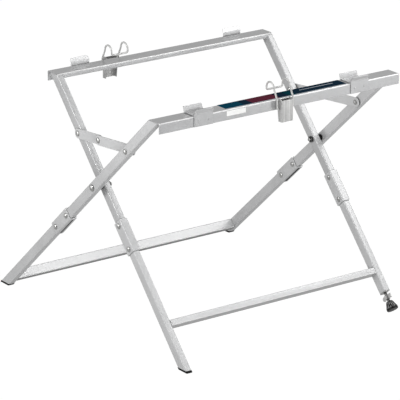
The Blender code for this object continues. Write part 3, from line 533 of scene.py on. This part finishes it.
FILM_THICKNESS = 0.12 * MM
FILM_CORNER = 1.5 * MM
FILM_LOW_X = -157 * MM
FILM_BLUE_END_X = -103 * MM
FILM_MAROON_LOW_X = -79 * MM
FILM_MAROON_HIGH_X = -3 * MM
FILM_TEAL_LOW_X = 25 * MM
FILM_TEAL_HIGH_X = 46 * MM
FILM_STRIPE_LOW_X = 70 * MM
FILM_STRIPE_HIGH_X = 168 * MM
FILM_HIGH_X = 193 * MM
FILM_NEAR_Y = front_bar_low.y + 0.11 * front_bar_width
FILM_BORDER = 2.4 * MM              # pale, along the near edge
FILM_STRIPE_Y = front_bar_low.y + 0.62 * front_bar_width
FILM_STRIPE_WIDTH = 3.2 * MM
FILM_NAVY = (0.010, 0.028, 0.050, 1.0)
FILM_BLUE = (0.005, 0.060, 0.105, 1.0)
FILM_MAROON = (0.130, 0.028, 0.048, 1.0)
FILM_TEAL = (0.004, 0.050, 0.068, 1.0)
FILM_PALE = (0.55, 0.60, 0.66, 1.0)
FILM_DUST = (0.5, 0.5, 0.5, 1.0)


def flat_film(name, low, high, material):
    """Lay a thin film with rounded corners between two corners of a box."""
    bm = bmesh.new()
    bmesh.ops.create_cube(bm, size=1.0)
    bmesh.ops.scale(bm, vec=high - low, verts=bm.verts[:])
    bmesh.ops.translate(bm, vec=(low + high) / 2, verts=bm.verts[:])
    thin = min(range(3), key=lambda axis: (high - low)[axis])
    corners = [line for line in bm.edges
               if abs((line.verts[0].co - line.verts[1].co)[thin]) > 0.5 * (high - low)[thin]]
    bmesh.ops.bevel(bm, geom=corners, offset=FILM_CORNER, segments=4, profile=0.5, affect="EDGES",
                    material=-1)
    show(name, bm, "front_top_bar", material)


def between(value, low, high):
    """Return 1 where the value is between two limits and 0 elsewhere."""
    return (value > low) * (value < high)


def printed_film():
    """Return the film's print: plain bands across it and two thin pale stripes along it."""
    finish = Finish(bpy.data.materials.new("printed_film"))
    place = finish.place()
    x = finish.along(place, "X")
    y = finish.along(place, "Y")
    colour = finish.blend(x < FILM_BLUE_END_X, FILM_NAVY, FILM_BLUE)
    colour = finish.blend(between(x, FILM_MAROON_LOW_X, FILM_MAROON_HIGH_X), colour, FILM_MAROON)
    colour = finish.blend(between(x, FILM_TEAL_LOW_X, FILM_TEAL_HIGH_X), colour, FILM_TEAL)
    colour = finish.blend((y < FILM_NEAR_Y + FILM_BORDER) * 0.8, colour, FILM_PALE)
    stripe = between(y, FILM_STRIPE_Y, FILM_STRIPE_Y + FILM_STRIPE_WIDTH)
    stripe = stripe * between(x, FILM_STRIPE_LOW_X, FILM_STRIPE_HIGH_X)
    colour = finish.blend(stripe * 0.85, colour, FILM_PALE)
    dust = finish.smooth_range(finish.noise(place, 120.0, 6.0), 0.55, 0.8)
    finish.shader({
        "Base Color": finish.blend(dust * 0.005, colour, FILM_DUST),
        "Roughness": 0.45 + dust * 0.12,
        "Specular IOR Level": 0.0,
        "Normal": finish.bump(finish.noise(place, 300.0, 2.0), 0.04, 0.1 * MM),
    })
    return finish.owner


film_low = Vector((FILM_LOW_X, FILM_NEAR_Y, front_bar_high.z))
film_high = Vector((FILM_HIGH_X, front_bar_high.y - MM, front_bar_high.z + FILM_THICKNESS))
flat_film("front_bar_printed_film", film_low, film_high, printed_film())

TAG_LOW_X = -159 * MM
TAG_HIGH_X = -105 * MM
TAG_HEIGHT = 12 * MM
TAG_BELOW_TOP = 3.5 * MM
TAG_WHITE = (0.88, 0.88, 0.87, 1.0)
TAG_FIBRE = (0.78, 0.78, 0.77, 1.0)

tag_finish = Finish(bpy.data.materials.new("blank_tag"))
tag_fibre = tag_finish.noise(tag_finish.place(), 700.0, 4.0)
tag_finish.shader({
    "Base Color": tag_finish.blend(tag_fibre * 0.3, TAG_WHITE, TAG_FIBRE),
    "Roughness": 0.42 + tag_fibre * 0.15,
    "Normal": tag_finish.bump(tag_fibre, 0.05, 0.1 * MM),
})
tag_top = front_bar_high.z - TAG_BELOW_TOP
tag_low = Vector((TAG_LOW_X, front_bar_low.y - FILM_THICKNESS, tag_top - TAG_HEIGHT))
tag_high = Vector((TAG_HIGH_X, front_bar_low.y, tag_top))
flat_film("front_bar_blank_tag", tag_low, tag_high, tag_finish.owner)


# Saddles and stop plates
#
# Folded steel plates that stop the saw's base tubes from sliding off, two saddles in front and two stop
# plates behind. Each is held by two small rivets low on its outer face. The stop plates and the saddles'
# rear lips have a lighter copy of the bars' coat, a painted highlight where the plates stand above the bar.
SADDLE_SILVER = sprayed_silver("silver_paint_plates", (0.44, 0.443, 0.448), 0.34, folds=0.25)
# a lighter copy of the coat, a painted highlight on plates standing above the bar
LIT_STOP_SILVER = sprayed_silver("silver_paint_stop_plates_painted_light", (0.70, 0.703, 0.707), 0.38)
PLATE_FACE_OUT = 2.3 * MM           # a plate's outer face, out from the bar's edge
LIP_CLEAR = 4 * MM                  # a lip is more than this above the bar, and this near its rear edge
PLATE_RIVET_BELOW_TOP = 12 * MM
PLATE_RIVET_FROM_MIDDLE = 14 * MM
PLATE_RIVET_RADIUS = 2.6 * MM
PLATE_RIVET_HEIGHT = 1.0 * MM
PLATE_RIVET_SUNK = 0.2 * MM


def turned(name, node, outline, centre, axis, material, segments=48):
    """Turn an outline of (distance along the axis, radius) points about an axis through a centre."""
    bm = bmesh.new()
    points = [bm.verts.new((radius, 0.0, along)) for along, radius in outline]
    lines = [bm.edges.new(pair) for pair in zip(points, points[1:])]
    bmesh.ops.spin(bm, geom=points + lines, cent=(0.0, 0.0, 0.0), axis=(0.0, 0.0, 1.0),
                   angle=2 * math.pi, steps=segments, use_merge=True, use_duplicate=False)
    bmesh.ops.remove_doubles(bm, verts=bm.verts[:], dist=0.001 * MM)
    bmesh.ops.transform(bm, verts=bm.verts[:], matrix=(
        Matrix.Translation(centre) @ Vector(axis).to_track_quat("Z", "Y").to_matrix().to_4x4()))
    bmesh.ops.recalc_face_normals(bm, faces=bm.faces[:])
    return show(name, bm, node, material)


def round_head(face, top, radius, steps=8):
    """Return the outline of a low round head from its rim to its crown."""
    outline = []
    for step in range(steps + 1):
        angle = math.pi / 2 * step / steps
        outline.append((face + (top - face) * math.sin(angle), radius * math.cos(angle)))
    outline[-1] = (top, 0.0)
    return outline


def paint_lip_highlight(saddle):
    """Give a saddle's rear lip the stop plates' lighter coat, a painted highlight."""
    saddle.data.materials.append(LIT_STOP_SILVER)
    for face in saddle.data.polygons:
        at_the_back = face.center.y > front_bar_high.y - LIP_CLEAR
        if at_the_back and face.center.z > front_bar_high.z + LIP_CLEAR:
            face.material_index = 1


def plate_rivets(node, face_y, top, outward, material):
    """Set a plate's two small rivets, with round heads on its outer face."""
    low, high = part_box(node)
    outline = [(-PLATE_RIVET_SUNK, 0.0), (-PLATE_RIVET_SUNK, PLATE_RIVET_RADIUS)]
    outline += round_head(0.0, PLATE_RIVET_HEIGHT, PLATE_RIVET_RADIUS)
    for word, reach in (("left", -1), ("right", 1)):
        x = (low.x + high.x) / 2 + reach * PLATE_RIVET_FROM_MIDDLE
        centre = Vector((x, face_y, top - PLATE_RIVET_BELOW_TOP))
        turned(f"{node}_{word}_rivet", node, outline, centre, (0.0, outward, 0.0), material, segments=24)


for bar, kind, outward, silver in (("front", "saddle", -1, SADDLE_SILVER),
                                   ("rear", "stop_plate", 1, LIT_STOP_SILVER)):
    bar_low, bar_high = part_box(f"{bar}_top_bar")
    face_y = bar_low.y - PLATE_FACE_OUT if outward < 0 else bar_high.y + PLATE_FACE_OUT
    for side in ("left", "right"):
        plate = soften(f"{bar}_{side}_{kind}", silver)
        if kind == "saddle":
            paint_lip_highlight(plate)
        plate_rivets(f"{bar}_{side}_{kind}", face_y, bar_high.z, outward, silver)


# Leg rivets and pivot bolts
#
# Zinc-plated steel, bright with a faint cloudy bloom and fine marks from the heading tool.
# Rivets hold the sleeves and the braces. The pivot on either side is a bolt with a darker nut.
# painted shade for the plating's corners and seams
ZINC_SEAM_SHADE = (0.10, 0.10, 0.10, 1.0)
HARDWARE_EDGE = 0.3 * MM
SHANK_RADIUS = 3 * MM


def plated(name, colour, roughness, metallic=0.9):
    """Return zinc plating, bright or dark."""
    finish = Finish(bpy.data.materials.new(name))
    bloom = finish.noise(finish.place(), 160.0, 4.0)
    marks = finish.noise(finish.place((1.0, 9.0, 9.0)), 500.0, 3.0)
    plating = finish.blend(finish.smooth_range(bloom, 0.35, 0.7), shade(colour, 0.80), shade(colour, 1.0))
    finish.shader({
        "Base Color": finish.blend(finish.crevice(5 * MM) * 0.85, plating, ZINC_SEAM_SHADE),
        "Roughness": roughness + bloom * 0.16,
        "Metallic": metallic,
        "Normal": finish.bump(marks, 0.10, 0.1 * MM),
    })
    return finish.owner


ZINC = plated("zinc_plating", (0.56, 0.56, 0.55), 0.17)
DARK_ZINC = plated("dark_zinc_plating", (0.07, 0.07, 0.07), 0.28)


def across_rivet(node, side, head_height, tail_height, tail_share):
    """Show a rivet along X in its CAD node's box, with a round head outside and a narrower one inside."""
    low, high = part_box(node)
    outer, inner = (high.x, low.x) if side > 0 else (low.x, high.x)
    length = abs(outer - inner)
    radius = (high.y - low.y) / 2
    centre = Vector((inner, (low.y + high.y) / 2, (low.z + high.z) / 2))
    outline = round_head(tail_height, 0.0, radius * tail_share)[::-1]
    outline += [(tail_height, SHANK_RADIUS), (length - head_height, SHANK_RADIUS)]
    outline += round_head(length - head_height, length, radius)
    piece = turned(f"{node}_finished", node, outline, centre, (side, 0.0, 0.0), ZINC)
    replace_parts(piece, node)


for side, word in ((-1, "left"), (1, "right")):
    for leg in ("outer", "inner"):
        for place_word in ("upper", "lower"):
            across_rivet(f"{word}_{leg}_sleeve_{place_word}_rivet", side,
                         head_height=2.8 * MM, tail_height=1.8 * MM, tail_share=0.95)
    across_rivet(f"{word}_brace_front_rivet", side, head_height=3 * MM, tail_height=4 * MM, tail_share=0.9)
    soften(f"{word}_brace_rear_rivet", ZINC, HARDWARE_EDGE)
    soften(f"{word}_pivot_bolt", ZINC, HARDWARE_EDGE)
    soften(f"{word}_pivot_nut", DARK_ZINC, HARDWARE_EDGE)


# Folding braces
#
# Flat steel links with round ends that lock straight when the stand is open, joined by a rivet at the knee.
# A black plastic washer spaces the front link off the leg, and a longer spacer of the same plastic keeps the
# crossed legs apart on each pivot bolt.
LINK_SILVER = sprayed_silver("silver_paint_links", (0.64, 0.643, 0.647), 0.38)
PLASTIC_COLOUR = (0.005, 0.005, 0.005, 1.0)
PLASTIC_DUST = (0.06, 0.06, 0.06, 1.0)

plastic = Finish(bpy.data.materials.new("black_plastic_moulding"))
plastic_grain = plastic.noise(plastic.place(), 1500.0, 4.0)
plastic_scuffs = plastic.smooth_range(plastic.noise(plastic.place(), 90.0, 8.0), 0.56, 0.74)
plastic.shader({
    "Base Color": plastic.blend(plastic_scuffs * 0.22, PLASTIC_COLOUR, PLASTIC_DUST),
    "Roughness": 0.42 + plastic_scuffs * 0.15,
    "Specular IOR Level": 0.12,
    "Normal": plastic.bump(plastic_grain, 0.15, 0.2 * MM),
})
BLACK_PLASTIC = plastic.owner

for word in ("left", "right"):
    soften(f"{word}_brace_rear_link", LINK_SILVER)
    soften(f"{word}_brace_front_link", LINK_SILVER)
    soften(f"{word}_brace_knee_rivet", ZINC, HARDWARE_EDGE)
    soften(f"{word}_brace_front_washer", BLACK_PLASTIC, HARDWARE_EDGE)
    soften(f"{word}_pivot_spacer", BLACK_PLASTIC, HARDWARE_EDGE)


# Latches
#
# A folded bracket on the bar holds a channel lever, and the lever pulls a bent wire bail.
# All three are plated steel, the sheet with faint rolling lines and the wire drawn smooth.
SHEET_COLOUR = (0.50, 0.50, 0.495)
# painted shade for the sheet's corners and seams
SHEET_SEAM_SHADE = (0.16, 0.16, 0.16, 1.0)
BRACKET_EDGE = 0.25 * MM
LEVER_EDGE = 0.35 * MM

sheet = Finish(bpy.data.materials.new("latch_sheet_steel"))
sheet_lines = sheet.noise(sheet.place((40.0, 40.0, 1.0)), 60.0, 4.0)
sheet_streaks = sheet.noise(sheet.place((30.0, 30.0, 0.4)), 9.0, 1.0)
sheet_clouds = sheet.noise(sheet.place(), 60.0, 3.0)
sheet_wear = sheet.smooth_range(sheet_streaks * 0.6 + sheet_lines * 0.25 + sheet_clouds * 0.15, 0.38, 0.56)
sheet_steel = sheet.blend(sheet_wear, shade(SHEET_COLOUR, 0.72), shade(SHEET_COLOUR, 1.0))
sheet.shader({
    "Base Color": sheet.blend(sheet.crevice(5 * MM) * 0.3, sheet_steel, SHEET_SEAM_SHADE),
    "Roughness": 0.28 + sheet_lines * 0.12,
    "Metallic": 0.35,
    "Normal": sheet.bump(sheet_lines, 0.12, 0.2 * MM),
})
LATCH_SHEET = sheet.owner
LATCH_WIRE = plated("latch_wire_steel", (0.72, 0.72, 0.71), 0.38, metallic=0.45)

# The wire is measured out from the bar's edge and up from its top
BAIL_WIRE_RADIUS = 2.2 * MM
BAIL_WIRE_SIDES = 20
BAIL_BEND = 4.5 * MM
BAIL_HINGE_OUT = 9.5 * MM
BAIL_HINGE_BELOW_TOP = 21 * MM
BAIL_IN_LEVER = 14 * MM             # from the lever's middle to the wire's ends
BAIL_HALF_SPACING = 23 * MM
BAIL_LEAN_UP = 1 * MM               # where the wire starts to lean in over the bar
BAIL_HOOK_IN = 2.5 * MM             # where it starts to curl into the hook
BAIL_HOOK_UP = 24 * MM
BAIL_HOOK_RADIUS = 14.5 * MM
BAIL_HOOK_STEPS = 24
BAIL_CROSS_UP = 17 * MM             # the straight piece across, at the hooks' ends
REAR_LATCH_X = -132 * MM


def rounded(before, here, after, radius, steps=10):
    """Return the points of a bend where the wire turns at a corner."""
    back = (before - here).normalized()
    ahead = (after - here).normalized()
    half_turn = back.angle(ahead) / 2
    centre = here + (back + ahead).normalized() * radius / math.sin(half_turn)
    start = (here + back * radius / math.tan(half_turn) - centre).normalized()
    end = (here + ahead * radius / math.tan(half_turn) - centre).normalized()
    return [centre + start.slerp(end, step / steps) * radius for step in range(steps + 1)]


def bail(word, outward, x):
    """Show a bail bent from one wire: out of the lever, up, over the bar and across."""
    edge_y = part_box(f"{word}_top_bar")[0 if outward < 0 else 1].y
    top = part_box(f"{word}_top_bar")[1].z

    def at(side_x, out, up):
        return Vector((x + side_x, edge_y + outward * out, top + up))

    halves = []
    for side in (-1, 1):
        inside = at(side * BAIL_IN_LEVER, BAIL_HINGE_OUT, -BAIL_HINGE_BELOW_TOP)
        corner = at(side * BAIL_HALF_SPACING, BAIL_HINGE_OUT, -BAIL_HINGE_BELOW_TOP)
        lean = at(side * BAIL_HALF_SPACING, BAIL_HINGE_OUT, BAIL_LEAN_UP)
        hook = at(side * BAIL_HALF_SPACING, -BAIL_HOOK_IN, BAIL_HOOK_UP)
        path = [inside] + rounded(inside, corner, lean, BAIL_BEND)
        path += rounded(corner, lean, hook, BAIL_BEND) + [hook]
        for step in range(1, BAIL_HOOK_STEPS):
            angle = math.pi * step / BAIL_HOOK_STEPS
            out = -BAIL_HOOK_IN - BAIL_HOOK_RADIUS * (1 - math.cos(angle))
            up = BAIL_HOOK_UP + BAIL_HOOK_RADIUS * math.sin(angle)
            path.append(at(side * BAIL_HALF_SPACING, out, up))
        halves.append(path)
    left_half, right_half = halves
    tip = -BAIL_HOOK_IN - 2 * BAIL_HOOK_RADIUS
    left_nose = at(-BAIL_HALF_SPACING, tip, BAIL_CROSS_UP)
    right_nose = at(BAIL_HALF_SPACING, tip, BAIL_CROSS_UP)
    path = left_half + rounded(left_half[-1], left_nose, right_nose, BAIL_BEND)
    path += rounded(left_nose, right_nose, right_half[-1], BAIL_BEND) + right_half[::-1]
    node = f"{word}_latch_bail"
    bm = sweep(path, [BAIL_WIRE_RADIUS] * len(path), BAIL_WIRE_SIDES)
    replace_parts(show(f"{node}_finished", bm, node, LATCH_WIRE), node)


for word, outward, x in (("front", -1, 0.0), ("rear", 1, REAR_LATCH_X)):
    soften(f"{word}_latch_bracket", LATCH_SHEET, BRACKET_EDGE)
    soften(f"{word}_latch_lever", LATCH_SHEET, LEVER_EDGE)
    bail(word, outward, x)


# Foot caps
#
# Three legs end in black plastic caps, level with the floor.
# Their plugs are pushed into the leg tubes.
CAP_EDGE = 0.5 * MM
for cap in ("rear_left_foot_cap", "rear_right_foot_cap", "front_left_foot_cap"):
    soften(cap, BLACK_PLASTIC, CAP_EDGE)


# Levelling foot
#
# The fourth leg ends in a threaded insert with a plated stud, a wing nut that locks it and a rubber foot.
# The foot's ribs are pale on their crests, patchy wear with a painted highlight. They end at a plain rim
# with a pale line round its edge, the same wear and painted highlight.
WING_NUT_EDGE = 0.4 * MM
STUD_RADIUS = 4 * MM
STUD_END_RADIUS = 3.28 * MM
THREAD_PITCH = 1.25 * MM
THREAD_DEPTH = 0.6 * MM
FOOT_RIBS = 16
FOOT_RIM = 7 * MM
FOOT_RIM_LINE = 1.2 * MM
RUBBER_BLACK = (0.004, 0.004, 0.004, 1.0)
RUBBER_WEAR_AND_HIGHLIGHT = (0.32, 0.32, 0.32, 1.0)

soften("levelling_insert", ZINC, HARDWARE_EDGE)
soften("levelling_wing_nut", plated("bright_zinc_plating", (0.85, 0.85, 0.84), 0.24), WING_NUT_EDGE)

axis_of_joint = {joint["name"]: joint["axis"] for joint in frame["record"]["behaviour"]["joints"]}
out_of_leg = Vector(axis_of_joint["levelling_screw"]).normalized()
stud_low, stud_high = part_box("levelling_stud")
stud_middle = (stud_low + stud_high) / 2


def reach_along_stud(node):
    """Return how far a piece reaches in and out from the stud's middle."""
    reaches = [(vertex.co - stud_middle).dot(out_of_leg) for vertex in frame["nodes"][node].data.vertices]
    return min(reaches), max(reaches)


def threaded_outline(start, end):
    """Return a stud's outline, with a ring for each turn of its thread."""
    outline = [(start, 0.0), (start, STUD_END_RADIUS)]
    for turn in range(int((end - start) / THREAD_PITCH) - 1):
        crest = start + (turn + 0.5) * THREAD_PITCH
        root = crest + 0.5 * THREAD_PITCH
        outline += [(crest - 0.10 * THREAD_PITCH, STUD_RADIUS), (crest + 0.10 * THREAD_PITCH, STUD_RADIUS),
                    (root - 0.05 * THREAD_PITCH, STUD_RADIUS - THREAD_DEPTH),
                    (root + 0.05 * THREAD_PITCH, STUD_RADIUS - THREAD_DEPTH)]
    return outline + [(end, STUD_END_RADIUS), (end, 0.0)]


stud_outline = threaded_outline(*reach_along_stud("levelling_stud"))
stud_piece = turned("levelling_stud_finished", "levelling_stud", stud_outline, stud_middle, out_of_leg, ZINC)
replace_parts(stud_piece, "levelling_stud")


def ribbed_rubber(centre, outward, end):
    """Return black rubber, pale on its ribs' crests and along its rim's edge: patchy wear with a painted
    highlight.
    """
    finish = Finish(bpy.data.materials.new("black_rubber_moulding"))
    place = finish.place()
    x = finish.along(place, "X") - centre.x
    y = finish.along(place, "Y") - centre.y
    z = finish.along(place, "Z") - centre.z
    along = y * outward.y + z * outward.z
    across = z * outward.y - y * outward.z
    around = finish.add("ShaderNodeMath", {"operation": "ARCTAN2"}, {0: across, 1: x})
    ribs = finish.add("ShaderNodeMath", {"operation": "COSINE"}, {0: around * FOOT_RIBS})
    rim_edge = end - FOOT_RIM
    worn = finish.smooth_range(finish.noise(place, 130.0, 3.0), 0.35, 0.6)
    # painted highlight on the ribs' crests and the rim's edge, broken up by patchy wear
    pale = finish.smooth_range(ribs, 0.1, 0.9) * (along < rim_edge) * worn
    pale = pale + between(along, rim_edge, rim_edge + FOOT_RIM_LINE) * worn * 0.8
    finish.shader({
        "Base Color": finish.blend(pale, RUBBER_BLACK, RUBBER_WEAR_AND_HIGHLIGHT),
        "Roughness": 0.30 + pale * 0.25,
        "Specular IOR Level": 0.3,
        "Normal": finish.bump(finish.noise(place, 900.0, 4.0), 0.20, 0.2 * MM),
    })
    return finish.owner


foot_end = reach_along_stud("levelling_rubber_foot")[1]
soften("levelling_rubber_foot", ribbed_rubber(stud_middle, out_of_leg, foot_end), HARDWARE_EDGE)
